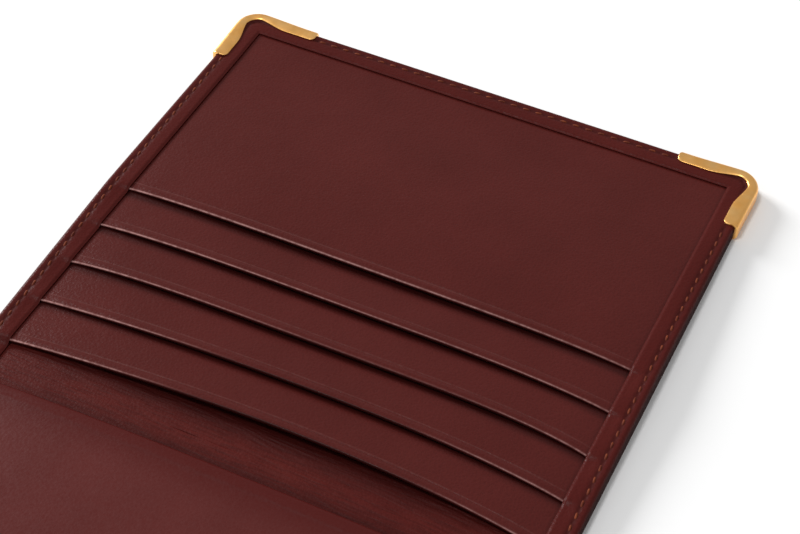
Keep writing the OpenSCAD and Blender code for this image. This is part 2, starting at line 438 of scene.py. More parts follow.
@dataclass(frozen=True)
class Leather:
    """Dyed calf leather with a fine grain, with painted shade and painted highlights laid into its colour."""

    name: str
    colour: Triple
    deep: Triple
    painted_shade: Triple
    highlight_and_wear_colour: Triple = (0.48, 0.26, 0.24)
    roughness: float = 0.32
    sheen: float = 0.14
    shade_matt: float = 0.0
    mottle: float = 14 * MM
    speck: float = 0.9 * MM
    highlight_and_wear_patch: float = 0.8 * MM
    polish: float = 0.5 * MM
    grain: float = 0.46 * MM
    grain_depth: float = 0.032 * MM
    fine_grain: float = 0.16 * MM
    wave: float = 7 * MM
    wave_depth: float = 0.10 * MM
    wrinkle: float = 0.38 * MM
    wrinkle_depth: float = 0.0

    def make(self) -> bpy.types.Material:
        """Builds the material.

        Returns:
            The material.
        """
        nodes = Nodes(self.name)
        cells = nodes.cells(self.grain)
        painted_shade = nodes.add("ShaderNodeAttribute", attribute_name="painted_shade").outputs["Fac"]
        colour = self.dye(nodes, cells, painted_shade)
        nodes.feed("Roughness", self.shine(nodes, painted_shade))
        pores = nodes.bump(cells, self.grain_depth)
        fine = nodes.bump(nodes.noise(self.fine_grain, 3.0), self.grain_depth * 0.7, pores)
        relief = nodes.bump(nodes.noise(self.wave, 2.0), self.wave_depth, fine)
        if self.wrinkle_depth > 0.0:
            folds = nodes.noise(self.wrinkle, 3.0, stretch=(0.09, 1.0, 1.0))
            relief = nodes.bump(folds, self.wrinkle_depth, relief)
            # painted shade: the troughs of the wrinkles are darkened
            colour = nodes.blend(nodes.span(folds, 0.26, 0.0, 0.40, 0.54), colour, self.painted_shade)
        nodes.feed("Base Color", colour)
        nodes.feed("Normal", relief)
        nodes.set(IOR=1.45, Specular_IOR_Level=self.sheen)
        return nodes.material

    def dye(self, nodes: Nodes, cells: bpy.types.NodeSocket,
            painted_shade: bpy.types.NodeSocket) -> bpy.types.NodeSocket:
        """Lays the dye: uneven and darker in the pores, darkened by painted shade, and paled by painted
        highlight and wear.

        Args:
            nodes: the material's nodes.
            cells: the grain's cells.
            painted_shade: how much painted shade lies on the surface.

        Returns:
            The colour.
        """
        uneven = nodes.span(nodes.noise(self.mottle, 3.0), 0.0, 1.0)
        specks = nodes.span(nodes.noise(self.speck, 3.0), 0.0, 0.30, 0.45, 0.8)
        pores = nodes.span(cells, 0.22, 0.0, 0.05, 0.40)
        colour = nodes.blend(uneven, self.colour, self.deep)
        colour = nodes.blend(specks, colour, self.deep)
        # the grain's pores darken towards the same colour as the painted shade
        colour = nodes.blend(pores, colour, self.painted_shade)
        # painted shade: the per-vertex shade share darkens the colour
        colour = nodes.blend(painted_shade, colour, self.painted_shade)
        # painted highlight, partly wear: the per-vertex share, broken up by noise, pales the colour
        patchy = nodes.add("ShaderNodeMath", operation="MULTIPLY")
        nodes.link(nodes.add("ShaderNodeAttribute", attribute_name="wear_and_highlight").outputs["Fac"], patchy.inputs[0])
        nodes.link(nodes.span(nodes.noise(self.highlight_and_wear_patch, 4.0), 0.45, 1.0, 0.35, 0.6), patchy.inputs[1])
        return nodes.blend(patchy.outputs["Value"], colour, self.highlight_and_wear_colour)

    def shine(self, nodes: Nodes, painted_shade: bpy.types.NodeSocket) -> bpy.types.NodeSocket:
        """Makes the polish uneven, and duller where painted shade lies.

        Args:
            nodes: the material's nodes.
            painted_shade: how much painted shade lies on the surface.

        Returns:
            The roughness.
        """
        uneven = nodes.span(nodes.noise(self.polish, 2.0), self.roughness - 0.05, self.roughness + 0.07)
        matt = nodes.add("ShaderNodeMath", operation="MULTIPLY_ADD")
        nodes.link(painted_shade, matt.inputs[0])
        matt.inputs[1].default_value = self.shade_matt
        nodes.link(uneven, matt.inputs[2])
        return matt.outputs["Value"]


@dataclass(frozen=True)
class Gold:
    """Polished pale gold plate with a few hairline scratches."""

    name: str = "gold_plate"
    colour: Triple = (1.0, 0.50, 0.13)
    pale: Triple = (1.0, 0.58, 0.21)

    def make(self) -> bpy.types.Material:
        """Builds the material.

        Returns:
            The material.
        """
        nodes = Nodes(self.name)
        tone = nodes.span(nodes.noise(3 * MM, 2.0), 0.0, 1.0)
        nodes.feed("Base Color", nodes.blend(tone, self.colour, self.pale))
        smear = nodes.span(nodes.noise(1.2 * MM, 4.0), 0.30, 0.40)
        nodes.feed("Roughness", smear)
        scratch = nodes.bump(nodes.noise(0.12 * MM, 2.0, stretch=(0.08, 0.5, 1.0)), 0.0006 * MM)
        wave = nodes.bump(nodes.noise(2.4 * MM, 1.0), 0.02 * MM, scratch)
        nodes.feed("Normal", wave)
        nodes.set(Metallic=1.0)
        return nodes.material


@dataclass(frozen=True)
class Thread:
    """Waxed, twisted sewing thread."""

    name: str = "waxed_thread"
    colour: Triple = (0.21, 0.047, 0.016)
    dark: Triple = (0.085, 0.014, 0.006)

    def make(self) -> bpy.types.Material:
        """Builds the material.

        Returns:
            The material.
        """
        nodes = Nodes(self.name)
        ply = nodes.add("ShaderNodeTexWave", wave_type="BANDS", bands_direction="DIAGONAL")
        ply.inputs["Scale"].default_value = 0.35 / MM
        ply.inputs["Distortion"].default_value = 1.2
        nodes.link(nodes.place, ply.inputs["Vector"])
        twist = ply.outputs["Fac"]
        dirt = nodes.span(nodes.noise(1.4 * MM, 2.0), 0.0, 1.0)
        colour = nodes.blend(dirt, self.colour, self.dark)
        # painted shade in the grooves between the thread's plies
        nodes.feed("Base Color", nodes.blend(nodes.span(twist, 0.5, 0.0, 0.0, 0.6), colour, self.dark))
        nodes.feed("Normal", nodes.bump(twist, 0.05 * MM))
        nodes.set(Roughness=0.7, Specular_IOR_Level=0.15)
        return nodes.material


@dataclass(frozen=True)
class Plain:
    """A hidden board or pocket fabric with a light weave."""

    name: str
    colour: Triple
    roughness: float = 0.85

    def make(self) -> bpy.types.Material:
        """Builds the material.

        Returns:
            The material.
        """
        nodes = Nodes(self.name)
        weave = nodes.add("ShaderNodeTexWave", wave_type="BANDS", bands_direction="X")
        weave.inputs["Scale"].default_value = 0.6 / MM
        nodes.link(nodes.place, weave.inputs["Vector"])
        darker = tuple(0.8 * part for part in self.colour)
        nodes.feed("Base Color", nodes.blend(weave.outputs["Fac"], self.colour, darker))
        nodes.feed("Normal", nodes.bump(weave.outputs["Fac"], 0.02 * MM))
        nodes.set(Roughness=self.roughness)
        return nodes.material


@dataclass(frozen=True)
class Tabletop:
    """Matt white tabletop."""

    name: str = "tabletop"
    colour: Triple = (0.93, 0.93, 0.93)

    def make(self) -> bpy.types.Material:
        """Builds the material.

        Returns:
            The material.
        """
        nodes = Nodes(self.name)
        nodes.set(Base_Color=(*self.colour, 1.0), Roughness=0.9, Specular_IOR_Level=0.1)
        return nodes.material


COVER_LEATHER = Leather(
    "cover_leather",
    colour=(0.076, 0.0102, 0.0082),
    deep=(0.064, 0.0080, 0.0066),
    painted_shade=(0.018, 0.0025, 0.002),
    sheen=0.09,
    shade_matt=0.50,
)
PANEL_LEATHER = Leather(
    "panel_leather",
    colour=(0.081, 0.0120, 0.0100),
    deep=(0.070, 0.0100, 0.0082),
    painted_shade=(0.022, 0.0030, 0.0025),
)
# a lighter copy of the panel leather for the second leaf's panel: painted sheen
SHEEN_PAINTED_LEATHER = Leather(
    "sheen_painted_panel_leather",
    colour=(0.096, 0.0165, 0.0145),
    deep=(0.084, 0.0140, 0.0122),
    painted_shade=(0.064, 0.0052, 0.0040),
    roughness=0.38,
    sheen=0.15,
    grain_depth=0.014 * MM,
)
LINING_LEATHER = Leather(
    "lining_leather",
    colour=(0.086, 0.0112, 0.0088),
    deep=(0.072, 0.0088, 0.0070),
    painted_shade=(0.018, 0.0022, 0.002),
    roughness=0.42,
    sheen=0.09,
    wrinkle_depth=0.12 * MM,
)


# Shape of a leaf


@dataclass
class Leaf:
    """One leaf, measured from its fold line outwards.

    Places on a leaf are given as x along the fold, d from the fold line to the outer edge, and z up. The
    second leaf is the first turned half round, so that no shape is turned inside out.
    """

    side: Side
    half_width: float
    fold: float
    length: float
    floor: float
    corner_radius: float = 3.4 * MM
    hem_rise: float = 0.50 * MM
    hem: float = 4.2 * MM
    under_margin: float = 5.0 * MM
    stitch_inset: float = 1.5 * MM
    stitch_pitch: float = 2.3 * MM
    clip_leg_side: float = 12.7 * MM
    clip_leg_end: float = 13.9 * MM
    clip_flange: float = 2.1 * MM
    clip_throat: float = 1.05 * MM
    clip_metal: float = 0.35 * MM
    clip_play: float = 0.03 * MM
    flange_rise: float = 6.0 * MM
    end_round: float = 1.0 * MM

    def put(self, x: np.ndarray, d: np.ndarray, z: np.ndarray) -> np.ndarray:
        """Turns places on the leaf into places in the frame.

        Args:
            x: places along the fold.
            d: distances from the fold line.
            z: heights.

        Returns:
            X, y and z in the frame, along a new last axis.
        """
        sign = self.side.value
        x, d, z = np.broadcast_arrays(x, d, z)
        return np.stack([sign * x, sign * (self.fold + d), z], axis=-1)

    def crown(self, x: np.ndarray, power: float = 2.5) -> np.ndarray:
        """How far the slack leather stands up across the leaf, 0 at the hems and 1 in the middle.

        Args:
            x: places along the fold.
            power: how late it falls off; a larger power stays high until close to the hems.

        Returns:
            The share of the rise.
        """
        share = np.clip(np.abs(x) / (self.half_width - self.hem), 0.0, 1.0)
        return (1.0 - share**power) ** 0.9

    # The outline, followed from the fold up one side, round the end and down the other side

    @property
    def run(self) -> float:
        """Length of a straight side, from the middle of the spine to the corner's arc."""
        return self.fold + self.length - self.corner_radius

    @property
    def arc(self) -> float:
        """Length of a corner's arc."""
        return self.corner_radius * math.pi / 2.0

    @property
    def end_run(self) -> float:
        """Length of the straight outer end between the arcs."""
        return 2.0 * (self.half_width - self.corner_radius)

    @property
    def way_length(self) -> float:
        """Length of the whole outline."""
        return 2.0 * (self.run + self.arc) + self.end_run

    def outline(self, way: np.ndarray) -> tuple[np.ndarray, np.ndarray, np.ndarray, np.ndarray]:
        """Follows the outline.

        Args:
            way: distances along the outline from the spine's middle.

        Returns:
            x, d and the inward direction's x and d at each distance.
        """
        near = np.minimum(way, self.way_length - way)
        mirror = np.where(way > self.way_length / 2.0, -1.0, 1.0)
        radius = self.corner_radius
        angle = np.clip((near - self.run) / radius, 0.0, math.pi / 2.0)
        centre_x = -self.half_width + radius
        centre_d = self.length - radius
        x = centre_x - radius * np.cos(angle) + np.maximum(near - self.run - self.arc, 0.0)
        d = centre_d + radius * np.sin(angle) - np.maximum(self.run - near, 0.0)
        return mirror * x, d, mirror * np.cos(angle), -np.sin(angle)

    def spot(self, way: np.ndarray, inset: np.ndarray) -> tuple[np.ndarray, np.ndarray]:
        """Places at an inset from the outline, mitred where they lie further in than the corner's radius.

        Args:
            way: distances along the outline.
            inset: distances inwards from it.

        Returns:
            x and d of each place.
        """
        x, d, in_x, in_d = self.outline(way)
        from_side = self.half_width - np.abs(x + in_x * inset)
        from_end = self.length - d - in_d * inset
        turn = self.corner_way(way)
        on_arc = np.abs(turn) <= self.arc / 2.0
        deep = inset > self.corner_radius
        mitred_side = np.where(on_arc, inset, np.where(turn > 0.0, np.maximum(from_side, inset), from_side))
        mitred_end = np.where(on_arc, inset, np.where(turn < 0.0, np.maximum(from_end, inset), from_end))
        from_side = np.where(deep, mitred_side, from_side)
        from_end = np.where(deep, mitred_end, from_end)
        return np.sign(x) * (self.half_width - from_side), self.length - from_end

    def corner_way(self, way: np.ndarray) -> np.ndarray:
        """Distance along the outline from the middle of the nearer corner."""
        near = np.minimum(way, self.way_length - way)
        return near - self.run - self.arc / 2.0

    def clip_reach(self, turn: np.ndarray) -> np.ndarray:
        """Distance along the outline from a corner's middle to the clip's end on that side of the corner."""
        leg = np.where(turn > 0.0, self.clip_leg_end, self.clip_leg_side)
        return leg - self.corner_radius + self.arc / 2.0

    def flange(self, way: np.ndarray) -> np.ndarray:
        """Width of a clip's flange along the outline: wide legs, rounded ends and a narrow throat.

        Args:
            way: distances along the outline from the spine's middle.

        Returns:
            The width at each distance.
        """
        turn = self.corner_way(way)
        leg = smooth_step(self.arc * 0.3, self.arc * 0.3 + self.flange_rise, np.abs(turn))
        width = self.clip_throat + (self.clip_flange - self.clip_throat) * leg
        return width - round_off(self.clip_reach(turn) - np.abs(turn), self.end_round)

    def under_clip(self, way: np.ndarray, inset: np.ndarray) -> np.ndarray:
        """1 where a clip's flange lies on the leather, and 0 elsewhere.

        Args:
            way: distances along the outline from the spine's middle.
            inset: distances inwards from it.

        Returns:
            The share covered, from 0 to 1.
        """
        turn = self.corner_way(way)
        along = drop_off(0.05 * MM, 0.4 * MM, np.abs(turn) - self.clip_reach(turn))
        width = self.flange(np.clip(way, 0.0, self.way_length))
        return along * drop_off(0.05 * MM, 0.35 * MM, inset - width)

    def hem_base(self, d: np.ndarray, inset: np.ndarray) -> np.ndarray:
        """Height of what the hem lies on; each leaf gives its own."""
        raise NotImplementedError

    def hem_top(self, d: np.ndarray, inset: np.ndarray) -> np.ndarray:
        """Height of the hem's upper face."""
        return self.hem_base(d, inset) + self.hem_rise


@dataclass
class CardLeaf(Leaf):
    """The leaf with the stair of card slots."""

    mouths: tuple[float, ...] = ()
    heights: tuple[float, ...] = ()
    climb: float = 0.0
    outer: float = 0.0
    arches: tuple[float, ...] = (0.9 * MM, 1.2 * MM, 1.4 * MM, 1.8 * MM, 2.0 * MM)
    bows: tuple[float, ...] = (0.3 * MM, 0.6 * MM, 1.0 * MM, 1.4 * MM, 1.9 * MM)
    fullness: tuple[float, ...] = (4.0, 3.5, 4.0, 2.2, 1.9)
    gape: float = 0.60 * MM
    lining_arch: float = 1.0 * MM

    def strip(self, number: int, d: np.ndarray) -> np.ndarray:
        """Height of panel number (0 is the top one) where it lies flat, at the hems."""
        height = self.heights[number] - self.climb * (d - self.mouths[number])
        return np.maximum(height, self.outer) if number == 0 else height

    def rise(self, number: int, x: np.ndarray, d: np.ndarray) -> np.ndarray:
        """How far panel number stands up above where it lies flat.

        Args:
            number: the panel, from 0 at the top.
            x: places along the fold.
            d: distances from the fold line.

        Returns:
            The rise at each place.
        """
        own = self.arches[number] * self.crown(x, self.fullness[number])
        if number == 0:
            return own * drop_off(self.mouths[0] + 6 * MM, self.length - self.hem, d)
        start = self.mouths[number - 1]
        gap = self.gape * self.crown(x)
        back = self.arches[number - 1] * self.crown(x, self.fullness[number - 1]) - gap
        share = (d - self.mouths[number]) / (start - self.mouths[number])
        return np.where(d >= start, self.rise(number - 1, x, d) - gap, own + (back - own) * share)

    def hem_base(self, d: np.ndarray, inset: np.ndarray) -> np.ndarray:
        """Height of the panels under the hem: a line at the edge, and a stair at the hem's inner edge.

        Args:
            d: distances from the fold line.
            inset: distances inwards from the outline.

        Returns:
            The height at each place.
        """
        stair = self.strip(0, d)
        for number, mouth in enumerate(self.mouths):
            last = number == len(self.mouths) - 1
            below = np.full_like(d, self.floor) if last else self.strip(number + 1, d)
            share = soft_switch(d - mouth + 0.1 * MM, 0.45 * MM if last else 0.34 * MM)
            stair = below + (stair - below) * share
        knots = [-self.fold, -0.3 * MM, *self.mouths[::-1], self.length]
        levels = [self.floor, self.floor, *self.heights[::-1], self.outer]
        line = np.minimum(np.interp(d, knots, levels), np.maximum(self.strip(0, d), self.outer))
        line = np.where(d < self.mouths[0], np.interp(d, knots, levels), line)
        share = smooth_step(0.9 * MM, 3.8 * MM, inset)
        return line + (stair - line) * share


@dataclass
class PocketLeaf(Leaf):
    """The second leaf, with one smooth panel."""

    mouth: float = 1.2 * MM
    panel: float = 0.0
    mouth_arch: float = 1.45 * MM
    field_arch: float = 0.55 * MM
    lining_arch: float = 0.9 * MM

    def hem_base(self, d: np.ndarray, inset: np.ndarray) -> np.ndarray:
        """Height of the panel under the hem."""
        return self.floor + (self.panel - self.floor) * soft_switch(d - self.mouth + 0.2 * MM, 0.4 * MM)


# Cover: base, edge and turned hem of one leaf and half of the spine


@dataclass
class Cover:
    """The outer leather of one leaf, turned over its edge as a hem."""

    leaf: Leaf
    name: str
    step: float = 0.42 * MM
    thickness: float = 0.47 * MM
    lower_round: float = 0.55 * MM
    upper_round: float = 0.75 * MM
    stitch_dip: float = 0.10 * MM
    hole_dip: float = 0.10 * MM
    groove_width: float = 0.55 * MM
    hole_width: float = 0.26 * MM
    hem_roll: float = 0.70 * MM
    hem_drop: float = 0.20 * MM
    edge_wall_shade: float = 0.90
    stitch_groove_shade: float = 0.40

    def skin(self, way: np.ndarray) -> tuple[np.ndarray, np.ndarray]:
        """Outer face of the leather along the outline.

        Args:
            way: distances along the outline.

        Returns:
            Points by way and across the section, and how much painted shade each takes.
        """
        leaf = self.leaf
        d, in_d = (part[:, None] for part in leaf.outline(way)[1::2])
        low, high = self.lower_round, self.upper_round
        quarter = math.pi / 2.0
        turn_low = np.linspace(0.0, quarter, 6)[1:]
        turn_high = np.linspace(0.0, quarter, 7)
        top_share = np.linspace(0.0, 1.0, 25)[1:]
        base = np.linspace(leaf.half_width, leaf.under_margin, 11)[:-1]
        under = np.concatenate([base, np.linspace(leaf.under_margin, low, 14)])
        bottom_round = low - low * np.sin(turn_low)
        top_round = high - high * np.cos(turn_high)
        upper = high + (leaf.hem - high) * top_share
        inset = np.concatenate([under, bottom_round, [0.0], top_round, upper])
        inset = np.repeat(inset[None], len(way), 0)
        place_x, place_d = leaf.spot(way[:, None], inset)
        top = leaf.hem_top(place_d, inset)
        edge_top = leaf.hem_top(d + in_d * high, np.full_like(d, high))
        first = len(under)
        second = first + len(turn_low)
        third = second + 1 + len(turn_high)
        z = np.zeros_like(inset)
        z[:, first:second] = low - low * np.cos(turn_low)
        z[:, second] = edge_top[:, 0] / 2.0
        z[:, second + 1:third] = edge_top - high + high * np.sin(turn_high)
        z[:, third:] = top[:, third:]
        z = self.press(way[:, None], inset, z, first, third)
        # painted shade on the edge wall, fading out towards its top
        side = self.edge_wall_shade * ridge(inset, 0.0, 0.60 * MM) * drop_off(0.75, 0.98, z / edge_top)
        # painted shade in the stitch groove
        seam = self.stitch_groove_shade * ridge(inset, leaf.stitch_inset, 0.40 * MM)
        painted_shade = np.clip(seam + side, 0.0, 1.0)
        return leaf.put(place_x, place_d, z), painted_shade

    def press(self, way: np.ndarray, inset: np.ndarray, z: np.ndarray, first: int,
              third: int) -> np.ndarray:
        """Sinks the stitching and the clips into the leather, and rolls the hem's inner edge down.

        Args:
            way: distances along the outline.
            inset: distances inwards from it.
            z: heights of the outer face.
            first: first column of the edge's lower round.
            third: first column of the hem's upper face.

        Returns:
            The new heights.
        """
        leaf = self.leaf
        groove = ridge(inset, leaf.stitch_inset, self.groove_width)
        holes = 0.5 + 0.5 * np.cos(2.0 * math.pi * way / leaf.stitch_pitch)
        holes = ridge(inset, leaf.stitch_inset, self.hole_width) * holes**3
        dip = self.stitch_dip * groove + self.hole_dip * holes
        clip = leaf.under_clip(way, inset)
        z = z.copy()
        z[:, third - 1:] -= (dip * (1.0 - clip))[:, third - 1:]
        sunk = np.maximum(dip * 0.8, (leaf.clip_metal + leaf.clip_play) * clip)
        z[:, :first] += sunk[:, :first]
        z[:, first:third - 1] = np.maximum(z[:, first:third - 1], sunk[:, first - 1:first])
        roll = smooth_step(-self.hem_roll, 0.0, inset - leaf.hem)
        z[:, third:] -= (self.hem_drop * roll**2)[:, third:]
        return z

    def make(self, finish: bpy.types.Material) -> bpy.types.Object:
        """Builds the cover: the skin round the edge, its base, and the leather's thickness.

        Args:
            finish: the material to dress it in.

        Returns:
            The cover.
        """
        leaf = self.leaf
        count = int(round(leaf.way_length / self.step))
        way = np.linspace(0.0, leaf.way_length, count + 1)
        points, painted_shade = self.skin(way)
        obj = Bench.grid(self.name, points)
        self.store(obj, points, painted_shade)
        Bench.edit_all(obj)
        bpy.ops.mesh.remove_doubles(threshold=WELD)
        bpy.ops.object.mode_set(mode="OBJECT")
        self.face_out(obj)
        Bench.apply(obj, "SOLIDIFY", thickness=self.thickness, offset=-1.0, use_even_offset=False)
        Bench.smooth(obj, 50.0)
        obj.data.materials.append(finish)
        return obj

    @staticmethod
    def store(obj: bpy.types.Object, points: np.ndarray, painted_shade: np.ndarray) -> None:
        """Stores the painted shade shares on the grid's vertices.

        Args:
            obj: the cover's grid.
            points: the places it was laid on.
            painted_shade: the share at each of them.
        """
        flat = points.reshape(-1, 3).astype(np.float32)
        order = {tuple(place): value for place, value in zip(flat, painted_shade.ravel())}
        found = [order.get(tuple(place), 0.0) for place in Bench.points(obj).astype(np.float32)]
        Bench.shade(obj, np.array(found))

    def face_out(self, obj: bpy.types.Object) -> None:
        """Turns the open sheet's faces away from the middle of the leaf.

        Args:
            obj: the open sheet.
        """
        middle = Vector((0.0, self.leaf.side.value * (self.leaf.fold + self.leaf.length / 2.0), 1.6 * MM))
        outwards = sum(face.area * face.normal.dot((face.center - middle).normalized())
                       for face in obj.data.polygons)
        if outwards < 0.0:
            Bench.edit_all(obj)
            bpy.ops.mesh.flip_normals()
            bpy.ops.object.mode_set(mode="OBJECT")
        LOG.info("%s: faces point outwards by %.2e", obj.name, outwards)


# Panels with a turned mouth


@dataclass
class TurnedPanel:
    """A leather panel whose mouth edge is turned under and tooled with a fine line."""

    name: str
    leaf: Leaf
    mouth: float
    back: float
    height: Callable[[np.ndarray, np.ndarray], np.ndarray]
    bow: float = 0.0
    lean: float = 0.45
    fullness: float = 2.5
    shelter: float = FAR_AWAY
    leather: float = 0.45 * MM
    mouth_round: float = 0.34 * MM
    pinched_round: float = 0.23 * MM
    nose: float = 0.26 * MM
    wear_and_highlight: float = 0.66
    turn_in: float = 6.0 * MM
    bow_fade: float = 8.0 * MM
    margin: float = 1.2 * MM
    near: float = 3.2 * MM
    row: float = 0.7 * MM
    tool_line: float = 1.6 * MM
    tool_depth: float = 0.08 * MM
    bead: float = 0.10 * MM
    hem_shade: float = 0.30
    under_mouth_shade: float = 0.85
    shelter_shadow: float = 0.46
    lip_shadow: float = 0.80
    front_shade: float = 0.85
    tool_line_highlight: float = 0.10
    columns: int = 120

    def section(self) -> tuple[np.ndarray, np.ndarray, np.ndarray]:
        """Section across the mouth.

        Returns:
            Distance behind the mouth in metres, and two shares of the mouth's radius that are added to
            distance and height: how far back and how far down each point of the round lies.
        """
        length = self.back - self.mouth - self.nose
        coarse = np.linspace(length, self.near, max(int((length - self.near) / self.row), 3))
        fine = np.linspace(3.1 * MM, 0.05 * MM, 34)
        angle = np.linspace(0.0, math.pi, 13)[1:-1]
        flap = np.array([0.6, 2.0, 4.0, 5.8]) * MM
        above = len(coarse) + len(fine)
        under = [self.turn_in + 0.3 * MM, length]
        behind = np.concatenate([coarse, fine, np.zeros(len(angle)), flap, under])
        back = np.concatenate([np.ones(above), 1.0 - np.sin(angle), np.ones(len(flap) + len(under))])
        down = np.concatenate([np.zeros(above), 1.0 - np.cos(angle), np.full(len(flap), 2.0), [-1.0, -1.0]])
        return behind, back, down

    def bow_back(self, x: np.ndarray) -> np.ndarray:
        """How far the slack mouth draws back from the fold at each place along it."""
        leaf = self.leaf
        return self.bow * (1.0 + self.lean * x / leaf.half_width) * leaf.crown(x, self.fullness)

    def make(self, finish: bpy.types.Material) -> bpy.types.Object:
        """Builds the panel as a closed sheet of leather.

        Args:
            finish: the material to dress it in.

        Returns:
            The panel.
        """
        leaf = self.leaf
        reach = leaf.half_width - self.margin
        share = np.linspace(-1.0, 1.0, self.columns + 1)
        x = reach * (0.75 * share + 0.25 * np.sin(share * math.pi / 2.0))[:, None]
        behind, back, down = self.section()
        crown = leaf.crown(x, self.fullness)
        rounding = self.pinched_round + (self.mouth_round - self.pinched_round) * crown**0.5
        bow = self.bow_back(x) * np.clip(1.0 - behind / self.bow_fade, 0.0, 1.0)
        d = self.mouth + behind + back * self.nose + bow
        surface = self.height(x, np.maximum(d, self.mouth))
        drop = np.where(down < 0.0, self.leather, down * rounding)
        groove = self.tool_depth * ridge(behind, self.tool_line, 0.14 * MM)
        bead = self.bead * ridge(behind, self.tool_line * 0.45, 0.5 * MM)
        inside = np.clip((leaf.half_width - leaf.hem - 1.6 * MM - np.abs(x)) / (1.5 * MM), 0.0, 1.0)
        worked = (bead - groove) * inside * (drop == 0.0)
        z = surface - drop + worked
        rings = leaf.put(x, self.corner(x, d), z)
        obj = Bench.loft(self.name, rings)
        self.mark(obj)
        Bench.smooth(obj, 45.0)
        obj.data.materials.append(finish)
        return obj

    def corner(self, x: np.ndarray, d: np.ndarray) -> np.ndarray:
        """Keeps the back corners inside the cover's round corners.

        Args:
            x: places along the fold.
            d: distances from the fold line.

        Returns:
            The distances, shortened at the round corners.
        """
        leaf = self.leaf
        radius = leaf.corner_radius
        over = np.maximum(np.abs(x) - (leaf.half_width - radius), 0.0)
        limit = leaf.length - radius + np.sqrt(np.maximum(radius**2 - over**2, 0.0)) - self.margin
        return np.minimum(d, limit)

    def mark(self, obj: bpy.types.Object) -> None:
        """Marks where shade and highlights are painted on the panel.

        Painted shade lies on the turned mouth's face and underside, beside the hems and behind an untooled
        mouth, and a painted shadow falls below the next mouth above; a painted highlight, partly wear, pales
        the crest of the mouth and the tooled line.

        Args:
            obj: the panel.
        """
        leaf = self.leaf
        places = Bench.points(obj)
        x = places[:, 0] * leaf.side.value
        behind = places[:, 1] * leaf.side.value - leaf.fold - self.mouth - self.bow_back(x)
        drop = self.height(x, np.maximum(behind, 0.0) + self.mouth) - places[:, 2]
        # painted shade along the hems' inner edges
        beside = self.hem_shade * ridge(np.abs(x), leaf.half_width - leaf.hem, 0.20 * MM)
        # painted shade on the turned mouth's face and underside
        under = self.under_mouth_shade * (behind < 0.3 * MM) * smooth_step(0.12 * MM, 0.3 * MM, drop)
        # painted highlight, partly wear, on the mouth's crest and along the tooled line
        crest = ridge(behind, 0.14 * MM, 0.15 * MM) * drop_off(0.06 * MM, 0.16 * MM, drop)
        line = self.tool_line_highlight * ridge(behind - self.nose, self.tool_line - 0.1 * MM, 0.10 * MM)
        tooled = self.tool_depth > 0.0
        tucked = self.shelter - behind - self.mouth
        # painted shadow cast by the next mouth above, darkest right under it
        cast_shadow = self.shelter_shadow * drop_off(0.0, 2.6 * MM, tucked) * leaf.crown(x, 4.0)
        cast_shadow += self.lip_shadow * drop_off(0.7 * MM, 2.2 * MM, tucked)
        # painted shade behind an untooled mouth, fading out over 8 mm
        front = self.front_shade * drop_off(0.5 * MM, 8.0 * MM, behind) * (not tooled)
        # the painted highlight is stronger towards negative x, where the key lamp stands
        lip_highlight_and_wear = self.wear_and_highlight * (1.0 - 0.35 * x / leaf.half_width)
        painted_shade = np.clip(beside + under + cast_shadow + front, 0.0, 1.0)
        Bench.shade(obj, painted_shade, lip_highlight_and_wear * (crest + line * tooled))


# Lining of one leaf and half of the spine


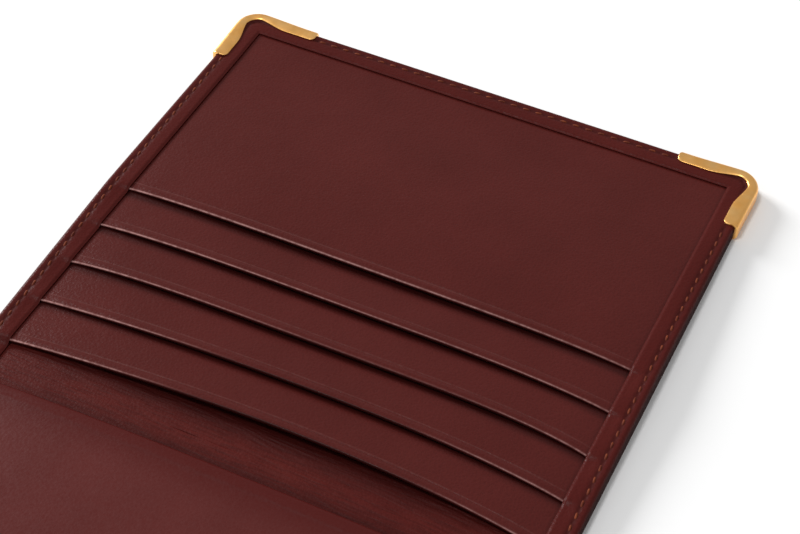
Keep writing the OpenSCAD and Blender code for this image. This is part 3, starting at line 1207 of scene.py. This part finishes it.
@dataclass
class Lining:
    """The thin lining, crumpled where the wallet folds."""

    name: str
    leaf: Leaf
    back: float
    arch: float
    spine_arch: float
    thickness: float = 0.22 * MM
    wrinkle: float = 0.10 * MM
    margin: float = 1.0 * MM
    crumpled: float = 3.0 * MM
    shelter_shadow: float = 0.62
    columns: int = 260

    def height(self, x: np.ndarray, d: np.ndarray) -> np.ndarray:
        """Height of the lining's upper face.

        Args:
            x: places along the fold.
            d: distances from the fold line.

        Returns:
            The height at each place.
        """
        leaf = self.leaf
        near = smooth_step(-leaf.fold, 1.2 * MM, d)
        rise = self.spine_arch + (self.arch - self.spine_arch) * near
        rise = rise * drop_off(1.5 * MM, 9.0 * MM, d)
        return leaf.floor + rise * leaf.crown(x)

    def wrinkles(self, x: float, d: float) -> float:
        """Height of the wrinkles, which run along the fold and branch.

        Args:
            x: place along the fold.
            d: distance from the fold line.

        Returns:
            The height of the wrinkles there, up or down.
        """
        y = (self.leaf.fold + d) * self.leaf.side.value
        slant = y + 0.05 * x * self.leaf.side.value
        wander = noise.noise(Vector((x * 60.0, y * 300.0, 3.0))) * 0.9 * MM
        fine = noise.noise(Vector((x * 130.0, (slant + wander) * 1500.0, 0.0)))
        broad = noise.noise(Vector((x * 45.0, (slant + wander) * 620.0, 7.0)))
        return self.wrinkle * (0.55 * (1.0 - 2.0 * abs(fine)) + 0.6 * broad)

    def make(self, finish: bpy.types.Material) -> bpy.types.Object:
        """Builds the lining.

        Args:
            finish: the material to dress it in.

        Returns:
            The lining.
        """
        leaf = self.leaf
        reach = leaf.half_width - self.margin
        x = np.linspace(-reach, reach, self.columns + 1)
        fold_rows = np.linspace(-leaf.fold, self.crumpled, 48)
        d = np.concatenate([fold_rows, np.linspace(self.crumpled, self.back, 26)[1:]])
        fade = drop_off(1.5 * MM, 4.5 * MM, d)
        shape = self.height(x[None], d[:, None])
        folds = np.array([[self.wrinkles(a, b) * f if f > 0 else 0.0 for a in x] for b, f in zip(d, fade)])
        calm = np.clip((leaf.half_width - leaf.hem + 1.0 * MM - np.abs(x)) / (3.0 * MM), 0.0, 1.0)
        points = leaf.put(x[None], d[:, None], shape + folds * calm[None])
        obj = Bench.grid(self.name, points)
        Bench.apply(obj, "SOLIDIFY", thickness=self.thickness, offset=-1.0)
        places = Bench.points(obj)
        behind = places[:, 1] * leaf.side.value - leaf.fold
        # painted shadow: the lining darkens from the fold line on into the leaf, under the panels
        cast_shadow = smooth_step(-2.2 * MM, 2.0 * MM, behind) * leaf.crown(places[:, 0], 4.0)
        Bench.shade(obj, self.shelter_shadow * cast_shadow)
        Bench.smooth(obj, 60.0)
        obj.data.materials.append(finish)
        return obj


# Stitching


@dataclass
class Stitching:
    """Stitches along a leaf's hem, and their mates under the cover."""

    name: str
    leaf: Leaf
    length: float = 1.55 * MM
    width: float = 0.38 * MM
    height: float = 0.32 * MM
    slant: float = math.radians(7.0)
    dip: float = 0.30 * MM
    sink: float = 0.10 * MM
    under_height: float = 0.17 * MM
    clip_gap: float = 0.35 * MM
    probe: float = 0.5 * MM

    def one(self) -> bpy.types.Object:
        """One stitch: a short round length of thread that dips at both ends.

        Returns:
            The stitch, lying along X at the origin.
        """
        Bench.clear()
        bpy.ops.mesh.primitive_cylinder_add(vertices=8, radius=0.5, depth=1.0, rotation=(0, math.pi / 2, 0))
        obj = Bench.name(bpy.context.object, "stitch")
        bpy.ops.object.transform_apply(location=False, rotation=True, scale=False)
        Bench.edit_all(obj)
        for cut in (0.0, -0.38, -0.22, 0.22, 0.38):
            bpy.ops.mesh.select_all(action="SELECT")
            bpy.ops.mesh.bisect(plane_co=(cut, 0, 0), plane_no=(1, 0, 0))
        bpy.ops.object.mode_set(mode="OBJECT")
        places = Bench.points(obj)
        along = np.abs(places[:, 0]) * 2.0
        girth = 1.0 - 0.45 * along**3
        places[:, 1] *= girth * self.width
        places[:, 2] = places[:, 2] * girth * self.height - self.dip * along**3
        places[:, 0] *= self.length
        obj.data.vertices.foreach_set("co", places.ravel())
        Bench.smooth(obj, 60.0)
        return obj

    def places(self) -> np.ndarray:
        """Distances along the outline of the stitches' middles, clear of the clips.

        Returns:
            The distances.
        """
        leaf = self.leaf
        count = int(leaf.way_length / leaf.stitch_pitch)
        middles = (np.arange(count) + 0.5) * leaf.stitch_pitch
        turn = leaf.corner_way(middles)
        return middles[np.abs(turn) > leaf.clip_reach(turn) + self.clip_gap]

    def make(self, finish: bpy.types.Material) -> bpy.types.Object:
        """Sews the leaf: a copy of the stitch at each place, above and below.

        Args:
            finish: the material to dress it in.

        Returns:
            The stitches as one piece.
        """
        leaf = self.leaf
        pattern = self.one()
        copies = []
        way = self.places()
        inset = np.full_like(way, leaf.stitch_inset)
        x, d, in_x, in_d = leaf.outline(way)
        ahead = leaf.outline(way + self.probe)
        top = leaf.hem_top(d + in_d * inset, inset)
        slope = leaf.hem_top(ahead[1] + ahead[3] * inset, inset) - top
        centre = leaf.put(x + in_x * inset, d + in_d * inset, top)
        turn = Matrix.Rotation(math.pi if leaf.side is Side.POCKET else 0.0, 4, "Z")
        for number in range(len(way)):
            heading = math.atan2(ahead[1][number] - d[number], ahead[0][number] - x[number])
            climb = -math.atan2(slope[number], self.probe)
            spin = turn @ Matrix.Rotation(heading + self.slant, 4, "Z") @ Matrix.Rotation(climb, 4, "Y")
            above = Matrix.Translation(Vector(centre[number]) - Vector((0, 0, self.sink))) @ spin
            low = Vector((centre[number][0], centre[number][1], self.under_height))
            flip = Matrix.Rotation(math.pi, 4, "X")
            below = Matrix.Translation(low) @ turn @ Matrix.Rotation(heading - self.slant, 4, "Z") @ flip
            for place in (above, below):
                copy = bpy.data.objects.new("stitch", pattern.data.copy())
                bpy.context.scene.collection.objects.link(copy)
                copy.data.transform(place)
                copies.append(copy)
        bpy.data.objects.remove(pattern)
        obj = Bench.join(self.name, copies)
        obj.data.materials.append(finish)
        return obj


# Corner clips


@dataclass
class CornerClip:
    """A gold clip pressed round one outer corner."""

    name: str
    leaf: Leaf
    second: bool
    bend: float = 0.78 * MM
    side_gap: float = 0.28 * MM
    end_gap: float = 0.05 * MM
    corner_gap: float = 0.40 * MM
    blunt: float = 0.45 * MM
    rim: float = 0.10 * MM
    dome: float = 0.15 * MM

    def gap(self, way: np.ndarray) -> np.ndarray:
        """Distance of the clip's wall from the leather: most round the corner, and least at the outer end.

        Args:
            way: distances along the outline from the spine's middle.

        Returns:
            The gap at each distance.
        """
        turn = self.leaf.corner_way(way)
        least = np.where(turn > 0.0, self.end_gap, self.side_gap)
        reach = self.leaf.clip_reach(turn)
        share = drop_off(0.1, 0.9, np.abs(turn) / reach)
        cut = round_off(reach - np.abs(turn), self.blunt)
        return least + (self.corner_gap - least) * share - 0.8 * cut

    def ring(self, way: np.ndarray, width: np.ndarray, top: np.ndarray) -> tuple[np.ndarray, np.ndarray]:
        """Section of the clip: insets and heights of its outer then its inner face.

        Args:
            way: distances along the outline.
            width: flange width at each place along the clip.
            top: height of the hem at each place.

        Returns:
            Insets and heights, one row for each place.
        """
        metal, off, bend = self.leaf.clip_metal, self.leaf.clip_play, self.bend
        turn = np.linspace(0.0, math.pi / 2.0, 9)
        inner_bend = bend - metal * 0.8
        rows = []
        for wide, high, gap in zip(width, top, self.gap(way)):
            outer = -(gap + metal)
            lid = high + off + metal
            share = np.linspace(1.0, 0.0, 8)
            flat = outer + bend + (wide - outer - bend) * share
            dome = self.dome * share**1.5
            rim = lid - dome[0] - self.rim
            points = [(wide - 0.03 * MM, lid - metal)]
            points += [(wide - self.rim * (1 - math.cos(a)), rim + self.rim * math.sin(a)) for a in turn[::2]]
            points += list(zip(flat[1:], (lid - dome * share)[1:]))
            points += [(outer + bend * (1 - math.sin(a)), lid - bend * (1 - math.cos(a))) for a in turn[1:]]
            points += [(outer + bend * (1 - math.cos(a)), bend * (1 - math.sin(a))) for a in turn]
            points += [(wide - 0.08 * MM, 0.0), (wide, metal * 0.5), (wide - 0.05 * MM, metal)]
            inside = outer + metal
            points += [(inside + inner_bend * (1 - math.sin(a)), metal + inner_bend * (1 - math.cos(a)))
                       for a in turn]
            roof = lid - metal
            points += [(inside + inner_bend * (1 - math.cos(a)), roof - inner_bend * (1 - math.sin(a)))
                       for a in turn]
            rows.append(points)
        rows = np.array(rows)
        return rows[:, :, 0], rows[:, :, 1]

    def make(self, finish: bpy.types.Material) -> bpy.types.Object:
        """Builds the clip along its stretch of the outline.

        Args:
            finish: the material to dress it in.

        Returns:
            The clip.
        """
        leaf = self.leaf
        middle = leaf.run + leaf.arc / 2.0
        before, after = -leaf.clip_reach(np.array(-1.0)), leaf.clip_reach(np.array(1.0))
        rounding = leaf.end_round * (1.0 - np.linspace(0.0, 1.0, 12) ** 0.5)
        span = np.linspace(before + leaf.end_round, after - leaf.end_round, 72)
        way = middle + np.unique(np.round(np.concatenate([span, before + rounding, after - rounding]), 9))
        if self.second:
            way = (leaf.way_length - way)[::-1]
        x, d, in_x, in_d = (part[:, None] for part in leaf.outline(way))
        width = leaf.flange(way)
        top = leaf.hem_top((d + in_d * self.bend)[:, 0], np.full_like(way, self.bend))
        inset, z = self.ring(way, width, top)
        obj = Bench.loft(self.name, leaf.put(x + in_x * inset, d + in_d * inset, z))
        Bench.apply(obj, "BEVEL", width=0.06 * MM, segments=2, limit_method="ANGLE",
                    angle_limit=math.radians(40))
        Bench.smooth(obj, 35.0)
        obj.data.materials.append(finish)
        return obj


# Studio


@dataclass(frozen=True)
class Lamp:
    """A soft area lamp."""

    name: str
    place: Triple
    target: Triple
    size: float
    power: float
    colour: Triple = (1.0, 1.0, 1.0)

    def make(self) -> None:
        """Adds the lamp and turns it to its target."""
        data = bpy.data.lights.new(self.name, "AREA")
        data.shape = "DISK"
        data.size = self.size
        data.energy = self.power
        data.color = self.colour
        lamp = bpy.data.objects.new(self.name, data)
        bpy.context.scene.collection.objects.link(lamp)
        lamp.location = self.place
        direction = Vector(self.target) - Vector(self.place)
        lamp.rotation_euler = direction.to_track_quat("-Z", "Y").to_euler()


@dataclass(frozen=True)
class Studio:
    """White tabletop, soft lamps, and a camera over the fold that looks at the card leaf."""

    camera_place: Triple = (92.6 * MM, -152.8 * MM, 231.8 * MM)
    camera_ahead: Triple = (-0.2840, 0.6242, -0.7279)
    camera_up: Triple = (-0.3239, 0.6520, 0.6855)
    lens: float = 89.5
    sky: float = 0.47
    lamps: tuple[Lamp, ...] = (
        Lamp("key", (-1.20, 0.45, 0.53), (0.0, 0.04, 0.0), 0.50, 19.5),
        Lamp("overhead", (-0.25, -0.30, 1.30), (0.0, 0.04, 0.0), 0.30, 5.6),
    )

    def make(self) -> None:
        """Sets the table, the lamps and the camera."""
        Bench.clear()
        bpy.ops.mesh.primitive_plane_add(size=6.0, location=(0.0, 0.0, -0.02 * MM))
        table = Bench.name(bpy.context.object, "tabletop")
        bpy.ops.object.transform_apply(location=True, rotation=True, scale=True)
        table.data.materials.append(Tabletop().make())
        for lamp in self.lamps:
            lamp.make()
        world = bpy.data.worlds.new("studio")
        world.use_nodes = True
        world.node_tree.nodes["Background"].inputs["Color"].default_value = (1.0, 1.0, 1.0, 1.0)
        world.node_tree.nodes["Background"].inputs["Strength"].default_value = self.sky
        scene = bpy.context.scene
        scene.world = world
        scene.view_settings.view_transform = "Standard"
        data = bpy.data.cameras.new("camera")
        data.lens = self.lens
        data.sensor_width = 36.0
        data.clip_start = 0.01
        camera = bpy.data.objects.new("camera", data)
        scene.collection.objects.link(camera)
        ahead, up = Vector(self.camera_ahead).normalized(), Vector(self.camera_up).normalized()
        turn = Matrix((ahead.cross(up), up, -ahead)).transposed().to_4x4()
        camera.matrix_world = Matrix.Translation(self.camera_place) @ turn
        scene.camera = camera


# Wallet


@dataclass
class Wallet:
    """The whole wallet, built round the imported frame."""

    nodes: dict
    panel_leather: float = 0.45 * MM
    bend_reach: float = 1.4 * MM
    back_margin: float = 1.3 * MM
    overlap: float = 6.0 * MM
    lining_margin: float = 6.0 * MM
    spine_arch: float = 1.0 * MM
    fold_gap: float = 0.2 * MM
    lining_lift: float = 0.03 * MM

    def __post_init__(self) -> None:
        """Reads the sizes of both leaves from the frame."""
        low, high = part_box("card_cover")
        fold = float(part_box("spine_cover")[1].y) + self.fold_gap
        floor = float(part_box("card_lining")[1].z) + self.lining_lift
        count = len([name for name in self.nodes if name.startswith("slot_panel_")])
        boxes = [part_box(f"slot_panel_{number}") for number in range(1, count + 1)]
        mouths = tuple(float(box[0].y) - fold for box in boxes)
        heights = tuple(float(box[1].z) for box in boxes)
        tall = boxes[1][1].z - boxes[1][0].z - self.panel_leather
        climb = float(tall / (boxes[1][1].y - boxes[1][0].y))
        outer = float(boxes[0][0].z) + self.panel_leather
        width, length = float(high.x), float(high.y) - fold
        self.card = CardLeaf(Side.CARD, width, fold, length, floor, mouths=mouths, heights=heights,
                             climb=climb, outer=outer)
        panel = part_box("pocket_panel")
        self.pocket = PocketLeaf(Side.POCKET, width, fold, length, floor, panel=float(panel[1].z),
                                 mouth=-float(panel[1].y) - fold)

    def across_fold(self, obj: bpy.types.Object, side: Side) -> None:
        """Bakes a piece's place into its mesh; both leaves are treated alike.

        Args:
            obj: the piece.
            side: the leaf it belongs to.
        """
        if side is Side.CARD:
            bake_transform(obj)
        else:
            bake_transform(obj)

    def make_covers(self) -> None:
        """Makes both halves of the outer leather."""
        finish = COVER_LEATHER.make()
        for leaf, name, nodes in ((self.card, "card_leather", ("card_cover", "spine_cover")),
                                  (self.pocket, "pocket_leather", ("pocket_cover",))):
            obj = Cover(leaf, name).make(finish)
            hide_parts(*nodes)
            self.across_fold(obj, leaf.side)
            Bench.note(obj)

    def make_panels(self) -> None:
        """Makes the stair of slot panels and the second leaf's panel."""
        finish = PANEL_LEATHER.make()
        card, pocket = self.card, self.pocket
        for number, mouth in enumerate(card.mouths):
            back = card.length - self.back_margin if number == 0 else card.mouths[number - 1] + self.overlap
            node = f"slot_panel_{number + 1}"

            def height(x: np.ndarray, d: np.ndarray, number: int = number) -> np.ndarray:
                """Height of this panel."""
                return card.strip(number, d) + card.rise(number, x, d)

            shelter = FAR_AWAY if number == 0 else card.mouths[number - 1] + 0.5 * card.bows[number - 1]
            panel = TurnedPanel(f"{node}_leather", card, mouth, back, height, card.bows[number],
                                fullness=card.fullness[number], shelter=shelter)
            obj = panel.make(finish)
            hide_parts(node)
            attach(obj, "card_leaf")
            Bench.note(obj)

        def field(x: np.ndarray, d: np.ndarray) -> np.ndarray:
            """Height of the second leaf's panel, which stands up most at its mouth.

            Args:
                x: places along the fold.
                d: distances from the fold line.

            Returns:
                The height at each place.
            """
            near = drop_off(pocket.mouth, 30 * MM, d)
            rise = pocket.field_arch + (pocket.mouth_arch - pocket.field_arch) * near
            rise = rise * drop_off(pocket.length - 30 * MM, pocket.length - pocket.hem, d)
            return pocket.panel + rise * pocket.crown(x)

        roll = TurnedPanel("pocket_panel_leather", pocket, pocket.mouth, pocket.length - self.back_margin,
                           field, mouth_round=0.62 * MM, pinched_round=0.3 * MM, nose=1.5 * MM, wear_and_highlight=0.0,
                           tool_depth=0.0)
        # the second leaf's panel takes the lighter copy of the panel leather, with its sheen painted in
        obj = roll.make(SHEEN_PAINTED_LEATHER.make())
        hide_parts("pocket_panel")
        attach(obj, "pocket_leaf")
        Bench.note(obj)

    def make_linings(self) -> None:
        """Makes both halves of the lining."""
        finish = LINING_LEATHER.make()
        for leaf, name, nodes in ((self.card, "card_lining_leather", ("card_lining", "spine_lining")),
                                  (self.pocket, "pocket_lining_leather", ("pocket_lining",))):
            back = leaf.length - self.lining_margin
            obj = Lining(name, leaf, back, leaf.lining_arch, self.spine_arch).make(finish)
            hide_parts(*nodes)
            self.across_fold(obj, leaf.side)
            Bench.note(obj)

    def make_stitching(self) -> None:
        """Sews both leaves."""
        finish = Thread().make()
        for leaf, name, nodes in ((self.card, "card_stitches", ("card_thread", "spine_thread")),
                                  (self.pocket, "pocket_stitches", ("pocket_thread",))):
            obj = Stitching(name, leaf).make(finish)
            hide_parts(*nodes)
            self.across_fold(obj, leaf.side)
            Bench.note(obj)

    def make_clips(self) -> None:
        """Makes the four corner clips."""
        finish = Gold().make()
        rows = ((self.card, "card_corner_left", False, "card_leaf"),
                (self.card, "card_corner_right", True, "card_leaf"),
                (self.pocket, "pocket_corner_right", False, "pocket_leaf"),
                (self.pocket, "pocket_corner_left", True, "pocket_leaf"))
        for leaf, node, second, body in rows:
            obj = CornerClip(f"{node}_clip", leaf, second).make(finish)
            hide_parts(node)
            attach(obj, body)
            Bench.note(obj)

    def dress_hidden(self) -> None:
        """Gives the boards and fabric backs inside the wallet their finishes."""
        board = Plain("grey_board", (0.42, 0.39, 0.34)).make()
        fabric = Plain("pocket_fabric", (0.030, 0.012, 0.012)).make()
        for name, node in self.nodes.items():
            if name.endswith("stiffener") or name == "spine_reinforcement":
                node.material_slots[0].material = board
            if name.startswith("slot_tail_"):
                node.material_slots[0].material = fabric

    def make(self) -> None:
        """Makes every piece."""
        self.make_covers()
        self.make_panels()
        self.make_linings()
        self.make_stitching()
        self.make_clips()
        self.dress_hidden()


def main() -> None:
    """Loads the frame, and builds the wallet and the studio."""
    logging.basicConfig(level=logging.INFO, format="%(name)s: %(message)s", stream=sys.stdout)
    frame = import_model()
    Wallet(frame["nodes"]).make()
    Studio().make()


if __name__ == "__main__":
    main()
